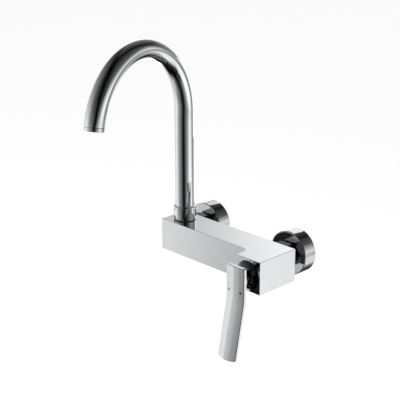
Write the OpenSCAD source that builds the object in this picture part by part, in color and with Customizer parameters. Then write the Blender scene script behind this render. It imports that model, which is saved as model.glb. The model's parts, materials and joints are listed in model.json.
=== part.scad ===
// Wall-mounted single-lever mixer: a square bar on two wall unions, a swivelling
// gooseneck spout over the left inlet and a lever on a block at the right end.
// Millimetres. The wall is the plane y = 0, the front faces -y, z = 0 is the inlet level
// and x = 0 lies midway between the two inlet axes.

/* [Body] */
// Distance between the two inlet axes
inlet_spacing = 150; // [135:1:170]
// Distance from the wall to the back of the bar
wall_gap = 43; // [42:0.5:55]
// Height of the bar
bar_h = 42; // [40:0.5:50]
// Depth of the bar, front to back
bar_d = 43; // [41:0.5:50]
// Length of the bar beyond the left inlet axis
bar_overhang = 13.5; // [12.5:0.5:30]
// Distance of the cartridge axis beyond the right inlet axis
cart_offset = 12.5; // [8:0.5:16]
// Width of the block that holds the cartridge
block_w = 39; // [37.5:0.5:46]
// Distance that the block stands in front of the bar
block_reach = 20.5; // [17:0.5:26]
// Rounding of the outer edges
edge_r = 0.4; // [0.4:0.1:2.5]
// Fillet where the front of the bar meets the block
fillet_r = 5; // [2:0.5:10]

/* [Waterways] */
// Bore of the long hot channel
hot_bore = 7; // [5:0.5:7.5]
// Bore of the cold cross channel and of both cartridge ports
port_bore = 7; // [5:0.5:7.5]
// Bore of the channel that takes mixed water to the spout
mixed_bore = 8; // [6:0.5:8.5]
// Wall left under the hot channel
hot_wall = 2.5; // [1.5:0.5:3]

/* [Spout] */
// Outside diameter of the spout tube
spout_d = 25; // [23:0.5:28]
// Wall of the spout tube
spout_wall = 1.2; // [0.8:0.1:2]
// Height of the bend's centre above the inlet level
spout_rise = 168; // [120:0.5:260]
// How much thinner the bend draws the tube
bend_draw = 0.1; // [0.05:0.05:0.3]
// Radius of the bend, at the tube's centre line
spout_bend_r = 91.5; // [50:0.5:120]
// Angle that the bend turns through
spout_sweep = 169; // [150:1:180]
// Angle of the spout at rest, from straight ahead towards the lever
spout_angle = 13; // [-30:1:30]
// Distance of the spout axis inside the left inlet axis
spout_offset = 8.5; // [4:0.5:20]
// Outside diameter of the collar at the foot of the spout
collar_d = 29.5; // [29:0.5:34]
// Height of the collar
collar_h = 18; // [10:0.5:30]
// Diameter of the tail that turns in the body
tail_d = 17.8; // [16:0.1:18.5]
// Length of the tail below the top of the bar
tail_l = 23; // [21:0.5:24]
// Bore of the tail
tail_bore = 11; // [8:0.5:12]
// Depth of the guide bush in the body
bush_depth = 8; // [6:0.5:9]
// Thickness of the bush's rim between the collar and the bar
bush_rim = 1; // [0.5:0.1:2]
// Section of the two O-rings
oring_d = 1.75; // [1.5:0.05:1.8]
// Distance between the two O-rings
oring_pitch = 5; // [3.5:0.5:5.5]
// Thickness of the retaining clip
clip_t = 1.2; // [0.8:0.1:1.6]

/* [Aerator] */
// Height of the aerator ring below the tube
aerator_h = 4; // [3:0.5:12]
// Length of the ring's thread inside the tube
aerator_thread = 5; // [4:0.5:8]
// Bore of the aerator ring
aerator_bore = 18.4; // [15:0.2:18.8]
// Distance that the insert sits back from the end of the spout
aerator_recess = 1.5; // [0.5:0.1:3]
// Number of ribs across the insert, each way
insert_ribs = 7; // [3:1:9]

/* [Cartridge] */
// Outside diameter of the cartridge
cart_d = 30; // [28:0.5:31]
// Diameter of the thread in the mouth of the block
mouth_d = 32; // [31.5:0.5:33.5]
// Depth of that thread
mouth_depth = 11.5; // [11:0.5:13]
// Height of the cartridge case
case_h = 19; // [19:0.5:22]
// Thickness of the cartridge base
base_h = 5; // [4:0.5:7]
// Thickness of each ceramic disc
disc_t = 4; // [3.5:0.1:4.2]
// Side of the square stem
stem_side = 7; // [5.5:0.1:7.5]
// Length of the stem in front of its pivot pin
stem_l = 32; // [29:0.5:32.5]
// Diameter of the pivot pin
pin_d = 2.5; // [2:0.1:3]
// Height of the retaining nut
retainer_h = 5.8; // [4:0.1:6]
// Diameter of the bonnet's rim on the front of the block
bonnet_d = 36.5; // [34.5:0.5:37]
// Thickness of the bonnet's shell
bonnet_wall = 1.6; // [1:0.1:2]

/* [Lever] */
// Angle that the lever lifts through
lift_angle = 25; // [15:1:25]
// Gap between the front of the block and the back of the blade
blade_gap = 18; // [17:0.5:24]
// Width of the blade
blade_w = 29; // [24:0.5:36]
// Thickness of the blade
blade_t = 5.5; // [4:0.1:8]
// Height of the blade's top above the inlet level
blade_top = 17.5; // [14:0.5:22]
// Depth below the inlet level where the blade starts to lean out
blade_bend = 20; // [18:0.5:40]
// Lean of the lower blade
blade_lean = 11; // [0:1:25]
// Radius of the bend in the blade's face
blade_bend_r = 60; // [20:1:100]
// Length of the leaning part
blade_l = 70; // [40:1:110]
// Radius of the arc that ends the blade
blade_end_r = 45; // [20:1:120]
// Rounding of the blade's lower corners
blade_corner = 3; // [1:0.5:8]
// Diameter of the neck behind the blade
neck_d = 28.5; // [22:0.5:28.5]
// Diameter of the grub screw
grub_d = 5; // [4:0.5:5]
// Diameter of the two index dots
dot_d = 3.4; // [2:0.1:5]
// Distance between the two index dots
dot_spacing = 19; // [10:0.5:22]
// Depth of the index dots below the inlet level
dot_drop = 14; // [8:0.5:16]

/* [Inlets] */
// Width across the flats of the union nuts
nut_af = 30; // [30:0.5:36]
// Length of the union nuts
nut_l = 18; // [16:0.5:18.5]
// Diameter of the union thread
union_d = 26.4; // [26:0.1:26.6]
// Diameter of the wall thread
wall_thread_d = 20.96; // [20:0.02:22]
// Length of the wall thread beyond the wall plane
wall_thread_l = 12; // [8:0.5:20]
// Offset of the wall thread below the inlet axis
eccentric = 5; // [0:0.5:6]
// Diameter of the wall flanges
flange_d = 57.5; // [54:0.5:70]
// Depth of the wall flanges
flange_t = 19.5; // [15:0.5:20]
// Wall of the wall flanges
flange_wall = 1.5; // [1:0.1:2.5]
// Bore of the inlet tails
inlet_bore = 14; // [10:0.5:15]
// Diameter of the thread that holds the inlet tails in the body
tail_thread_d = 20; // [18:0.5:20.5]
// Length of that thread
tail_thread_l = 8; // [6:0.5:8.5]

/* [Hidden] */
$fn = 96;

// Finishes
CHROME = [0.80, 0.81, 0.83];
BRASS = [0.76, 0.62, 0.34];
RUBBER = [0.12, 0.12, 0.13];
NYLON = [0.88, 0.88, 0.86];
CERAMIC = [0.95, 0.95, 0.93];
STEEL = [0.62, 0.63, 0.65];
CASE_GREY = [0.35, 0.37, 0.40];
INDEX_LIGHT = [0.62, 0.62, 0.62];
INDEX_DARK = [0.35, 0.35, 0.35];

// Clearances
eps = 0.01;        // overlap that joins two cuts
run = 0.05;        // radial clearance of a running fit
slip = 0.3;        // gap between pieces that pass each other
push = 0.1;        // gap round a piece that is pushed into its seat

// Body
bar_back = -wall_gap;
bar_front = bar_back - bar_d;
block_front = bar_front - block_reach;
left_x = -inlet_spacing / 2;
right_x = inlet_spacing / 2;
body_left = left_x - bar_overhang;
cart_x = right_x + cart_offset;
body_right = cart_x + block_w / 2;
block_left = cart_x - block_w / 2;
bar_top = bar_h / 2;

// Spout
spout_x = left_x + spout_offset;
spout_y = bar_back - bar_d / 2;
bush_top = bar_top + bush_rim;
collar_bottom = bush_top + push;
tube_bottom = collar_bottom + 0.5;
tail_bottom = bar_top - tail_l;
socket_d = tail_d + 2 * run + 0.1;
socket_room = 4;
socket_floor = tail_bottom - socket_room;
bush_wall = 3;
bush_d = tail_d + 2 * bush_wall;
clip_z = tail_bottom + 2;
clip_land = 3.5;
oring_low_z = clip_z + clip_t + clip_land;
oring_high_z = oring_low_z + oring_pitch;
groove_w = oring_d + 0.5;
groove_r = socket_d / 2 - oring_d - run;
clip_bite = 1.2;
clip_groove_r = tail_d / 2 - clip_bite;
clip_r = tail_d / 2 + clip_bite - push;
tube_bore = spout_d - 2 * spout_wall;
tail_plug = 11;

// Room that a straight piece needs inside the end of the bend
aerator_seal_t = 1.5;
bend_room = pow(aerator_thread + aerator_seal_t + push, 2) / (2 * spout_bend_r);
aerator_seat_d = tube_bore - 2 * push - 2 * bend_room;

// Cartridge, measured from the front of the block into the body
case_front = block_front + mouth_depth;
case_back = case_front + case_h;
base_back = case_back + base_h;
seal_gap = 0.5;
cavity_floor = base_back + seal_gap;
cavity_d = cart_d + 2 * push + 0.2;
case_wall = 2.4;
case_bore = cart_d - 2 * case_wall;
lid_t = 2;
disc_film = 0.05;
moving_back = case_back - disc_t - disc_film;
moving_front = moving_back - disc_t;
core_back = moving_front - slip;
core_front = case_front + lid_t + slip;
pivot_y = case_front + 5;
rest_tilt = lift_angle / 2;
arm_reach = 1.8;
arm_l = moving_front - pivot_y + arm_reach;
arm_d = stem_side - 1;
arm_tip = 1.2;
disc_arm = arm_l - arm_tip;
disc_chamber = 1.2;
socket_web = 0.4;
disc_rise = disc_arm * sin(rest_tilt);
moving_d = case_bore - 2 * disc_rise - 3;
lid_bore = 2 * ((pivot_y - case_front) * tan(rest_tilt) + stem_side / 2 * sqrt(2) + 1);
hot_port = [-4, -11];
mixed_port = [0, 9];
cold_port = [8, 0];
disc_port_scale = 0.65;
disc_port_d = 4.5;
seal_bore = 5;
seal_seat_d = 7;
seal_depth = 1;

// Bonnet and lever
bonnet_h = pivot_y - block_front;
dome_r = sqrt(pow(bonnet_h, 2) + pow(bonnet_d / 2, 2));
dome_gap = 0.7;
dome_opening = 2 * (dome_r * tan(rest_tilt) + stem_side / 2 * sqrt(2) + 0.2);
skirt_l = 5;
blade_back = block_front - blade_gap;
blade_front = blade_back - blade_t;
neck_ball_r = dome_r + dome_gap;
neck_rim_angle = acos((bonnet_h + slip) / neck_ball_r) - lift_angle;
neck_rim_r = min(neck_d / 2 - 1, neck_ball_r * sin(neck_rim_angle));
neck_taper = neck_d / 2 - neck_rim_r;
neck_start = sqrt(pow(neck_ball_r, 2) - pow(neck_rim_r, 2));
neck_end = pivot_y - blade_back + 1;
blade_low = -blade_bend - blade_bend_r * sin(blade_lean) - blade_l * cos(blade_lean);
grub_s = pivot_y - blade_back - 6;
grub_y = pivot_y - grub_s;
grub_z = -grub_s * tan(rest_tilt);
grub_in = stem_side / 2 + push;
grub_out = sqrt(pow(neck_d / 2, 2) - pow(grub_z, 2)) - 2;
dot_depth = 1;

// Inlets, from the back of the bar to the wall
tail_chamber = 2;
inlet_floor = bar_back - tail_thread_l - tail_chamber;
nut_gap = 2.5;
nut_front = bar_back + nut_gap;
nut_back = nut_front + nut_l;
nut_lip = 3;
nut_room = 4;
seat_front = nut_front + nut_lip + nut_room;
seat_t = 3;
washer_t = 2;
washer_front = seat_front + seat_t;
union_front = washer_front + washer_t;
flange_front = -flange_t;
union_r = union_d / 2 - 0.1;
eccentric_back = -6;
eccentric_step = flange_front + flange_wall + 3;
eccentric_bore = 14.5;
eccentric_boss_d = union_d + 5;
hot_y = inlet_floor + hot_bore / 2;
hot_z = -bar_top + hot_wall + hot_bore / 2;
mixed_z = tail_bottom - 0.5;

// Local +z points out of the wall, towards the user
module facing(x, y, z = 0) {
    translate([x, y, z]) rotate([90, 0, 0]) children();
}

// Rod along y from y0 (nearer the wall) to y1 (nearer the user)
module rod_y(x, z, y0, y1, d) {
    facing(x, y0, z) cylinder(h = y0 - y1, d = d);
}

// Ring along y, as rod_y with a bore
module ring_y(x, z, y0, y1, d, bore) {
    difference() {
        rod_y(x, z, y0, y1, d);
        rod_y(x, z, y0 + eps, y1 - eps, bore);
    }
}

// Rectangle with round corners from true arcs
module round_rect(x0, x1, y0, y1, r) {
    translate([x0 + r, y0]) square([x1 - x0 - 2 * r, y1 - y0]);
    translate([x0, y0 + r]) square([x1 - x0, y1 - y0 - 2 * r]);
    for (x = [x0 + r, x1 - r], y = [y0 + r, y1 - r]) {
        translate([x, y]) circle(r = r);
    }
}

// Plan of the bar and the block, with the fillet between them
module body_plan() {
    round_rect(body_left, body_right, bar_front, bar_back, edge_r);
    round_rect(block_left, body_right, block_front, bar_back, edge_r);
    translate([block_left - fillet_r, bar_front - fillet_r]) difference() {
        square([fillet_r + edge_r, fillet_r + edge_r]);
        circle(r = fillet_r);
    }
}

// Front view of the bar
module body_elevation() {
    round_rect(body_left, body_right, -bar_top, bar_top, edge_r);
}

// End view: the block's outline, and the bar's outline behind it
module body_end(front) {
    round_rect(front, bar_back, -bar_top, bar_top, edge_r);
}

module body_outside() {
    intersection() {
        translate([0, 0, -bar_h]) linear_extrude(height = 2 * bar_h) body_plan();
        translate([0, 0.5, 0]) rotate([90, 0, 0])
            linear_extrude(height = -block_front + 1) body_elevation();
        union() {
            translate([body_left - 1, 0, 0]) rotate([90, 0, 90])
                linear_extrude(height = block_left - body_left + 1 + eps)
                    body_end(bar_front);
            translate([block_left - fillet_r, 0, 0]) rotate([90, 0, 90])
                linear_extrude(height = block_w + fillet_r + 1)
                    body_end(block_front);
        }
    }
}

module waterways() {
    // left inlet, down to the long hot channel and along to the cartridge
    translate([left_x, hot_y, hot_z]) cylinder(h = -hot_z, d = hot_bore - 1);
    translate([left_x - hot_bore, hot_y, hot_z]) rotate([0, 90, 0])
        cylinder(h = cart_x + hot_port[0] - left_x + 2 * hot_bore, d = hot_bore);
    rod_y(cart_x + hot_port[0], hot_port[1], hot_y, cavity_floor - eps, port_bore);
    // right inlet, across to the cold port
    translate([right_x, hot_y, 0]) rotate([0, 90, 0])
        cylinder(h = cart_offset + cold_port[0] + port_bore, d = port_bore - 1);
    rod_y(cart_x + cold_port[0], cold_port[1], hot_y + 2, cavity_floor - eps, port_bore);
    // mixed water, from the cartridge's outlet back along the bar to the spout
    translate([spout_x, spout_y, mixed_z]) rotate([0, 90, 0])
        cylinder(h = cart_x - spout_x, d = mixed_bore);
    translate([cart_x, spout_y, mixed_z])
        cylinder(h = mixed_port[1] - mixed_z + port_bore, d = port_bore - 1);
    rod_y(cart_x + mixed_port[0], mixed_port[1], spout_y + port_bore, cavity_floor - eps, port_bore);
}

module body() {
    color(CHROME) difference() {
        body_outside();
        for (x = [left_x, right_x]) {
            rod_y(x, 0, bar_back + 1, inlet_floor, tail_thread_d);
        }
        // spout socket: bush seat, bore and the groove for the clip
        translate([spout_x, spout_y, bar_top - bush_depth])
            cylinder(h = bush_depth + 1, d = bush_d);
        translate([spout_x, spout_y, socket_floor])
            cylinder(h = bar_h, d = socket_d);
        translate([spout_x, spout_y, clip_z - slip])
            cylinder(h = clip_t + 2 * slip, r = clip_r + slip);
        // cartridge cavity and the thread in its mouth
        rod_y(cart_x, 0, cavity_floor, block_front - 1, cavity_d);
        rod_y(cart_x, 0, case_front, block_front - 1, mouth_d);
        waterways();
    }
}

// Frame of the spout: origin on its axis, bend in the local x-z plane
module spout_frame() {
    translate([spout_x, spout_y, 0]) rotate([0, 0, spout_angle - 90]) children();
}

// Frame of the outlet: local +z points down the stream
module outlet_frame() {
    spout_frame() translate([spout_bend_r, 0, spout_rise])
        rotate([0, spout_sweep, 0]) translate([-spout_bend_r, 0, 0]) children();
}

// Bent tube: the bend is drawn a hair thinner than the straight riser
module spout_tube() {
    bend_d = spout_d - bend_draw;
    bend_bore = tube_bore + bend_draw;
    riser_l = spout_rise - tube_bottom;
    color(CHROME) spout_frame() {
        translate([0, 0, tube_bottom]) difference() {
            cylinder(h = riser_l, d = spout_d);
            translate([0, 0, -1]) cylinder(h = riser_l + 2, d = tube_bore);
        }
        translate([spout_bend_r, 0, spout_rise]) rotate([90, 0, 0]) rotate([0, 0, 180 - spout_sweep])
            rotate_extrude(angle = spout_sweep, $fn = 72) translate([spout_bend_r, 0]) difference() {
                circle(d = bend_d, $fn = 48);
                circle(d = bend_bore, $fn = 48);
            }
    }
}

// Ring round the spout axis with rounded upper edge
module spout_collar() {
    lip = 1;
    color(CHROME) translate([spout_x, spout_y, collar_bottom]) rotate_extrude() difference() {
        union() {
            translate([spout_d / 2, 0]) square([(collar_d - spout_d) / 2, collar_h - lip]);
            translate([spout_d / 2, 0]) square([(collar_d - spout_d) / 2 - lip, collar_h]);
            translate([collar_d / 2 - lip, collar_h - lip]) circle(r = lip, $fn = 48);
        }
        translate([spout_d / 2 - 1, -1]) square([1, collar_h + 2]);
        // relief groove under the rim of the collar
        translate([collar_d / 2 - 0.5, collar_h - 4]) square([1, 0.8]);
    }
}

module spout_tail() {
    color(BRASS) translate([spout_x, spout_y, 0]) difference() {
        union() {
            translate([0, 0, tail_bottom]) cylinder(h = tube_bottom - tail_bottom + eps, d = tail_d);
            translate([0, 0, tube_bottom]) cylinder(h = tail_plug, d = tube_bore);
        }
        translate([0, 0, tail_bottom - 1])
            cylinder(h = tube_bottom + tail_plug - tail_bottom + 2, d = tail_bore);
        for (z = [oring_low_z, oring_high_z]) {
            translate([0, 0, z - groove_w / 2]) difference() {
                cylinder(h = groove_w, d = tail_d + 2);
                translate([0, 0, -1]) cylinder(h = groove_w + 2, r = groove_r);
            }
        }
        translate([0, 0, clip_z - push]) difference() {
            cylinder(h = clip_t + 2 * push, d = tail_d + 2);
            translate([0, 0, -1]) cylinder(h = clip_t + 3, r = clip_groove_r);
        }
    }
}

module spout_bush() {
    color(NYLON) translate([spout_x, spout_y, bar_top - bush_depth]) difference() {
        union() {
            cylinder(h = bush_depth + bush_rim, d = bush_d);
            translate([0, 0, bush_depth]) cylinder(h = bush_rim, d = collar_d - 1);
        }
        translate([0, 0, -1]) cylinder(h = bush_depth + bush_rim + 2, d = tail_d + 2 * run);
    }
}

module spout_oring(z) {
    color(RUBBER) translate([spout_x, spout_y, z]) rotate_extrude()
        translate([groove_r + oring_d / 2, 0]) circle(d = oring_d, $fn = 32);
}

// Split ring: the gap lets it close up as the tail is pushed home
module spout_clip() {
    gap = 8;
    color(STEEL) translate([spout_x, spout_y, clip_z]) difference() {
        cylinder(h = clip_t, r = clip_r);
        translate([0, 0, -1]) cylinder(h = clip_t + 2, r = clip_groove_r + push);
        translate([-gap / 2, 0, -1]) cube([gap, tail_d, clip_t + 2]);
    }
}

module aerator_ring() {
    lip = 0.8;
    color(CHROME) outlet_frame() difference() {
        union() {
            translate([0, 0, eps]) cylinder(h = aerator_h - lip, d = spout_d);
            translate([0, 0, aerator_h - lip]) cylinder(h = lip, d1 = spout_d, d2 = spout_d - 2 * lip);
            translate([0, 0, -aerator_thread]) cylinder(h = aerator_thread + 1, d = aerator_seat_d);
        }
        translate([0, 0, -aerator_thread - 1])
            cylinder(h = aerator_thread + aerator_h + 2, d = aerator_bore);
    }
}

// Honeycomb disc: a rim with a grid of ribs
module aerator_insert() {
    d = aerator_bore - 2 * push;
    rim = 1.4;
    rib = 0.7;
    h = 6;
    pitch = (d - 2 * rim) / (insert_ribs + 1);
    color(NYLON) outlet_frame() translate([0, 0, aerator_h - aerator_recess - h]) {
        difference() {
            cylinder(h = h, d = d);
            translate([0, 0, -1]) cylinder(h = h + 2, d = d - 2 * rim);
        }
        intersection() {
            cylinder(h = h, d = d - rim);
            for (i = [1:insert_ribs]) {
                offset_x = -d / 2 + rim + i * pitch;
                translate([offset_x - rib / 2, -d / 2, 0]) cube([rib, d, h]);
                translate([-d / 2, offset_x - rib / 2, 0]) cube([d, rib, h]);
            }
        }
    }
}

module aerator_washer() {
    color(RUBBER) outlet_frame() translate([0, 0, -aerator_thread - aerator_seal_t - push]) difference() {
        cylinder(h = aerator_seal_t, d = aerator_seat_d);
        translate([0, 0, -1]) cylinder(h = aerator_seal_t + 2, d = aerator_bore - 3);
    }
}

// The three ports of the cartridge, as holes along y
module ports(y0, y1, d) {
    for (p = [hot_port, mixed_port, cold_port]) {
        rod_y(cart_x + p[0], p[1], y0, y1, d);
    }
}

module cartridge_base() {
    color(CASE_GREY) difference() {
        rod_y(cart_x, 0, base_back, case_back, cart_d);
        ports(base_back + 1, case_back - 1, seal_bore);
        ports(base_back + 1, base_back - seal_depth, seal_seat_d);
    }
}

module port_seals() {
    color(RUBBER) difference() {
        ports(cavity_floor, base_back - seal_depth + push, seal_seat_d - 2 * push);
        ports(cavity_floor + 1, base_back - seal_depth - 1, seal_bore);
    }
}

module disc_fixed() {
    color(CERAMIC) difference() {
        rod_y(cart_x, 0, case_back, case_back - disc_t, case_bore - push);
        for (p = [hot_port, mixed_port, cold_port]) {
            rod_y(cart_x + p[0] * disc_port_scale, p[1] * disc_port_scale,
                case_back + 1, case_back - disc_t - 1, disc_port_d);
        }
    }
}

module disc_moving() {
    color(CERAMIC) difference() {
        rod_y(cart_x, disc_rise, moving_back, moving_front, moving_d);
        // flow chamber against the fixed disc, and the socket for the stem's arm
        rod_y(cart_x, disc_rise, moving_back + 1, moving_back - disc_chamber, moving_d - 6);
        rod_y(cart_x, disc_rise, moving_back - disc_chamber - socket_web, moving_front - 1, arm_d + 1.2);
    }
}

module cartridge_core() {
    slot_h = 2 * ((core_back - pivot_y) * tan(rest_tilt) + stem_side / 2 + 0.8);
    color(NYLON) difference() {
        rod_y(cart_x, 0, core_back, core_front, case_bore - 2 * slip);
        translate([cart_x - stem_side / 2 - slip, core_front - 1, -slot_h / 2])
            cube([stem_side + 2 * slip, core_back - core_front + 2, slot_h]);
        translate([cart_x, pivot_y, 0]) rotate([0, 90, 0])
            cylinder(h = cart_d, d = pin_d, center = true);
    }
}

module pivot_pin() {
    color(STEEL) translate([cart_x, pivot_y, 0]) rotate([0, 90, 0])
        cylinder(h = case_bore - 5, d = pin_d, center = true);
}

// Frame of the stem: origin at the pivot, local +z out along the stem at rest
module stem_frame() {
    facing(cart_x, pivot_y) rotate([rest_tilt, 0, 0]) children();
}

module stem() {
    shoulder = 2.5;
    color(BRASS) stem_frame() difference() {
        union() {
            translate([-stem_side / 2, -stem_side / 2, -shoulder])
                cube([stem_side, stem_side, stem_l + shoulder]);
            translate([0, 0, -arm_l]) cylinder(h = arm_l, d = arm_d);
        }
        rotate([0, 90, 0]) cylinder(h = 2 * stem_side, d = pin_d + 2 * run, center = true);
    }
}

module cartridge_case() {
    color(CASE_GREY) difference() {
        rod_y(cart_x, 0, case_back, case_front, cart_d);
        rod_y(cart_x, 0, case_back + 1, case_front + lid_t, case_bore);
        rod_y(cart_x, 0, case_back, case_front - 1, lid_bore);
    }
}

module retaining_nut() {
    bore = 22;
    notch = 3;
    depth = 2;
    color(BRASS) difference() {
        ring_y(cart_x, 0, case_front, case_front - retainer_h, mouth_d - 2 * push, bore);
        for (a = [0:60:300]) {
            facing(cart_x, case_front - retainer_h) rotate([0, 0, a])
                translate([bore / 2 - notch, -notch / 2, -depth]) cube([2 * notch, notch, 2 * depth]);
        }
    }
}

module bonnet() {
    skirt_d = mouth_d - 2 * push;
    color(CHROME) difference() {
        union() {
            intersection() {
                translate([cart_x, pivot_y, 0]) rotate([90, 0, 0]) sphere(r = dome_r);
                rod_y(cart_x, 0, block_front, block_front - dome_r, bonnet_d + 2);
            }
            rod_y(cart_x, 0, block_front + skirt_l, block_front - 1, skirt_d);
        }
        difference() {
            translate([cart_x, pivot_y, 0]) rotate([90, 0, 0]) sphere(r = dome_r - bonnet_wall);
            rod_y(cart_x, 0, block_front + skirt_l + dome_r, block_front - 1, 2 * dome_r);
        }
        rod_y(cart_x, 0, block_front + skirt_l + 1, block_front - 1 - eps, skirt_d - 3.6);
        rod_y(cart_x, 0, block_front, block_front - dome_r, dome_opening);
    }
}

// Side view of the blade: straight, then a bend, then straight and leaning out
module blade_side() {
    centre = [blade_front - blade_bend_r, -blade_bend];
    far = 2 * blade_bend_r + 50;
    translate([blade_front, -blade_bend]) square([blade_t, blade_bend + blade_top]);
    intersection() {
        translate(centre) difference() {
            circle(r = blade_bend_r + blade_t, $fn = 256);
            circle(r = blade_bend_r, $fn = 256);
        }
        translate(centre) polygon([[0, 0], [far, eps], [far, -far * tan(blade_lean) - eps]]);
    }
    translate(centre) rotate(-blade_lean)
        translate([blade_bend_r, -blade_l]) square([blade_t, blade_l]);
}

// Front view of the blade: square at the top, ended below by a wide arc
module blade_face() {
    top_r = 1.5;
    half = blade_w / 2;
    arc_z = blade_low + blade_end_r;
    reach = blade_end_r - blade_corner;
    corner_x = half - blade_corner;
    corner_z = arc_z - sqrt(pow(reach, 2) - pow(corner_x, 2));
    far = 2 * blade_end_r / reach;
    translate([-half, corner_z]) square([blade_w, blade_top - top_r - corner_z]);
    translate([-half + top_r, blade_top - top_r - 1]) square([blade_w - 2 * top_r, top_r + 1]);
    intersection() {
        translate([0, arc_z]) circle(r = blade_end_r, $fn = 192);
        translate([0, arc_z]) polygon([[0, 0], [-far * corner_x, far * (corner_z - arc_z)],
            [far * corner_x, far * (corner_z - arc_z)]]);
    }
    for (side = [-1, 1]) {
        translate([side * corner_x, corner_z]) circle(r = blade_corner);
        translate([side * (half - top_r), blade_top - top_r]) circle(r = top_r);
    }
}

module blade() {
    translate([cart_x, 0, 0]) intersection() {
        rotate([90, 0, 90]) translate([0, 0, -blade_w / 2]) linear_extrude(height = blade_w) blade_side();
        rotate([90, 0, 0]) linear_extrude(height = 3 * neck_end - block_front + blade_l) blade_face();
    }
}

module neck() {
    r = neck_d / 2;
    facing(cart_x, pivot_y) difference() {
        rotate_extrude() polygon([[0, neck_start], [neck_rim_r, neck_start],
            [r, neck_start + neck_taper], [r, neck_end], [0, neck_end]]);
        sphere(r = neck_ball_r);
    }
}

module lever() {
    socket = stem_side + 2 * push;
    color(CHROME) difference() {
        union() {
            blade();
            neck();
        }
        stem_frame() translate([-socket / 2, -socket / 2, dome_r - 5])
            cube([socket, socket, stem_l - dome_r + 5.5]);
        translate([cart_x, grub_y, grub_z]) rotate([0, -90, 0]) cylinder(h = neck_d, d = grub_d);
        for (side = [-1, 1]) {
            rod_y(cart_x + side * dot_spacing / 2, -dot_drop,
                blade_front + dot_depth, blade_front - 1, dot_d);
        }
    }
}

module grub_screw() {
    color(STEEL) translate([cart_x - grub_in, grub_y, grub_z]) rotate([0, -90, 0]) difference() {
        cylinder(h = grub_out - grub_in, d = grub_d);
        translate([0, 0, grub_out - grub_in - 2]) cylinder(h = 3, d = grub_d * 0.55, $fn = 6);
    }
}

module screw_plug() {
    color(CHROME) translate([cart_x - grub_out, grub_y, grub_z]) rotate([0, -90, 0])
        cylinder(h = 2, d = grub_d);
}

module index_dot(side) {
    rod_y(cart_x + side * dot_spacing / 2, -dot_drop,
        blade_front + dot_depth, blade_front - 0.1, dot_d);
}

module inlet_tail(x) {
    shoulder = 2;
    color(CHROME) difference() {
        union() {
            rod_y(x, 0, bar_back, bar_back - tail_thread_l, tail_thread_d);
            rod_y(x, 0, nut_front - push, bar_back - eps, tail_thread_d + 2 * shoulder);
            rod_y(x, 0, washer_front, bar_back, tail_thread_d);
            rod_y(x, 0, washer_front, seat_front, union_d - 2);
        }
        rod_y(x, 0, washer_front + 1, bar_back - tail_thread_l - 1, inlet_bore);
    }
}

module union_nut(x) {
    chamfer = 1.2;
    corner_r = nut_af / 2 / cos(30);
    color(CHROME) difference() {
        intersection() {
            facing(x, nut_back) cylinder(h = nut_l, r = corner_r, $fn = 6);
            facing(x, nut_back) rotate_extrude() polygon([[0, 0], [corner_r - chamfer, 0],
                [corner_r, chamfer], [corner_r, nut_l - chamfer], [corner_r - chamfer, nut_l], [0, nut_l]]);
        }
        rod_y(x, 0, nut_back + 1, nut_front - 1, tail_thread_d + 2 * slip);
        rod_y(x, 0, nut_back + 1, nut_front + nut_lip, union_d);
    }
}

module union_washer(x) {
    color(RUBBER) ring_y(x, 0, union_front, washer_front, union_d - 2, inlet_bore + 1);
}

// Shallow strainer cup held by the washer
module strainer(x) {
    depth = 4;
    color(STEEL) difference() {
        union() {
            rod_y(x, 0, union_front + depth, washer_front, inlet_bore - 1);
            rod_y(x, 0, union_front, washer_front, inlet_bore + 1);
        }
        rod_y(x, 0, union_front + depth - 0.8, washer_front - 1, inlet_bore - 3);
    }
}

module eccentric_union(x) {
    color(CHROME) difference() {
        union() {
            rod_y(x, 0, eccentric_step + 1, union_front, 2 * union_r);
            rod_y(x, -eccentric / 2, eccentric_back, eccentric_step, eccentric_boss_d);
            rod_y(x, -eccentric, wall_thread_l, eccentric_back - 1, wall_thread_d);
        }
        rod_y(x, 0, eccentric_back - 1, union_front - 1, inlet_bore + 1.2);
        rod_y(x, -eccentric, wall_thread_l + 1, eccentric_step - 1, eccentric_bore);
    }
}

// Deep round cover, open to the wall, with a rounded front edge
module flange(x) {
    r = flange_d / 2;
    round_r = 1.2;
    color(CHROME) facing(x, 0) difference() {
        rotate_extrude() {
            square([r, flange_t - round_r]);
            square([r - round_r, flange_t]);
            translate([r - round_r, flange_t - round_r]) circle(r = round_r, $fn = 48);
        }
        translate([0, 0, -1]) cylinder(h = flange_t + 1 - flange_wall, r = r - flange_wall);
        cylinder(h = flange_t + 1, d = union_d + 2 * slip);
    }
}

module flange_seal(x) {
    seal_w = 4;
    seal_t = 1.5;
    outer = flange_d - 2 * flange_wall - 2 * push;
    color(RUBBER) ring_y(x, 0, 0, -seal_t, outer, outer - 2 * seal_w);
}

body();
spout_tube();
spout_collar();
spout_tail();
spout_bush();
spout_oring(oring_high_z);  // spout_oring_upper
spout_oring(oring_low_z);  // spout_oring_lower
spout_clip();
aerator_ring();
aerator_insert();
aerator_washer();
cartridge_base();
port_seals();
disc_fixed();
disc_moving();
cartridge_core();
pivot_pin();
stem();
cartridge_case();
retaining_nut();
bonnet();
lever();
grub_screw();
screw_plug();
color(INDEX_LIGHT) index_dot(-1);  // index_left
color(INDEX_DARK) index_dot(1);  // index_right
inlet_tail(left_x);  // inlet_tail_left
inlet_tail(right_x);  // inlet_tail_right
union_nut(left_x);  // union_nut_left
union_nut(right_x);  // union_nut_right
union_washer(left_x);  // union_washer_left
union_washer(right_x);  // union_washer_right
strainer(left_x);  // strainer_left
strainer(right_x);  // strainer_right
eccentric_union(left_x);  // eccentric_left
eccentric_union(right_x);  // eccentric_right
flange(left_x);  // flange_left
flange(right_x);  // flange_right
flange_seal(left_x);  // flange_seal_left
flange_seal(right_x);  // flange_seal_right
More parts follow.
